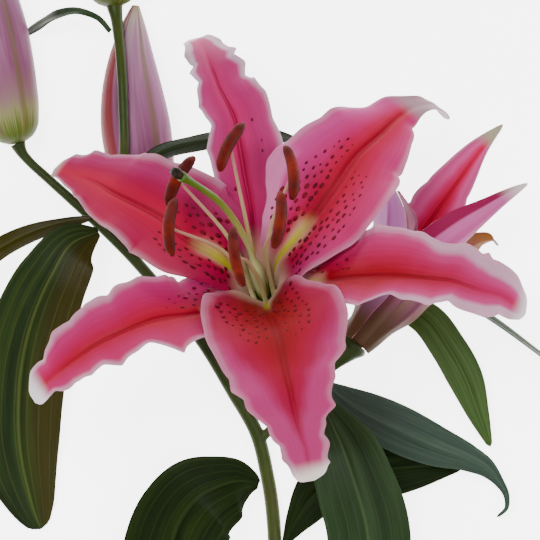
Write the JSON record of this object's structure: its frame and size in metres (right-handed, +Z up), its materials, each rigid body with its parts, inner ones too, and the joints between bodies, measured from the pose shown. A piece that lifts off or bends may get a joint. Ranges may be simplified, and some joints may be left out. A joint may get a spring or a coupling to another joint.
{
  "type": "cut lily",
  "caption": "Cut stem of a pink oriental lily lying on a surface, with an open bloom, a half-open bloom, closed buds and long leaves.",
  "frame": {"origin": "middle of the whole piece's footprint, on the surface it lies on", "axes": "+Y along the stem, from the cut end towards the buds; +Z up from the surface; +X to the side the half-open bloom is on"},
  "size_m": [0.2391, 0.4211, 0.1152],
  "materials": {
    "tepal_pink": "satin",
    "tepal_outside": "satin",
    "bud_mauve": "satin",
    "leaf_green": "satin",
    "stem_green": "satin",
    "filament_green": "satin",
    "anther_rust": "matte",
    "stigma_purple": "satin"
  },
  "bodies": {
    "root": {"stem": "stem_green", "tepal_top": "tepal_pink", "tepal_upper_right": "tepal_pink", "tepal_right": "tepal_pink", "tepal_bottom": "tepal_pink", "tepal_lower_left": "tepal_pink", "tepal_upper_left": "tepal_pink", "filament_1": "filament_green", "filament_2": "filament_green", "filament_3": "filament_green", "filament_4": "filament_green", "filament_5": "filament_green", "filament_6": "filament_green", "anther_1": "anther_rust", "anther_2": "anther_rust", "anther_3": "anther_rust", "anther_4": "anther_rust", "anther_5": "anther_rust", "anther_6": "anther_rust", "pistil": "filament_green", "stigma": "stigma_purple", "half_tepal_back": "tepal_outside", "half_tepal_far": "tepal_outside", "half_tepal_low": "tepal_outside", "half_tepal_near": "tepal_outside", "half_tepal_side": "tepal_outside", "half_tepal_under": "tepal_outside", "half_pistil": "filament_green", "half_filament_1": "filament_green", "half_filament_2": "filament_green", "half_filament_3": "filament_green", "half_filament_4": "filament_green", "half_filament_5": "filament_green", "half_filament_6": "filament_green", "half_anther_1": "anther_rust", "half_anther_2": "anther_rust", "half_anther_3": "anther_rust", "half_anther_4": "anther_rust", "half_anther_5": "anther_rust", "half_anther_6": "anther_rust", "bud_left": "bud_mauve", "bud_middle": "bud_mauve", "bud_top": "bud_mauve", "leaf_long_left": "leaf_green", "leaf_far_left": "leaf_green", "leaf_narrow_top": "leaf_green", "leaf_lower_left": "leaf_green", "leaf_lower_right": "leaf_green", "leaf_front_right": "leaf_green", "leaf_hooked_right": "leaf_green", "leaf_pale_right": "leaf_green", "leaf_far_right": "leaf_green", "leaf_stem_right": "leaf_green", "leaf_stem_left": "leaf_green", "bract_top": "leaf_green"}
  },
  "joints": []
}
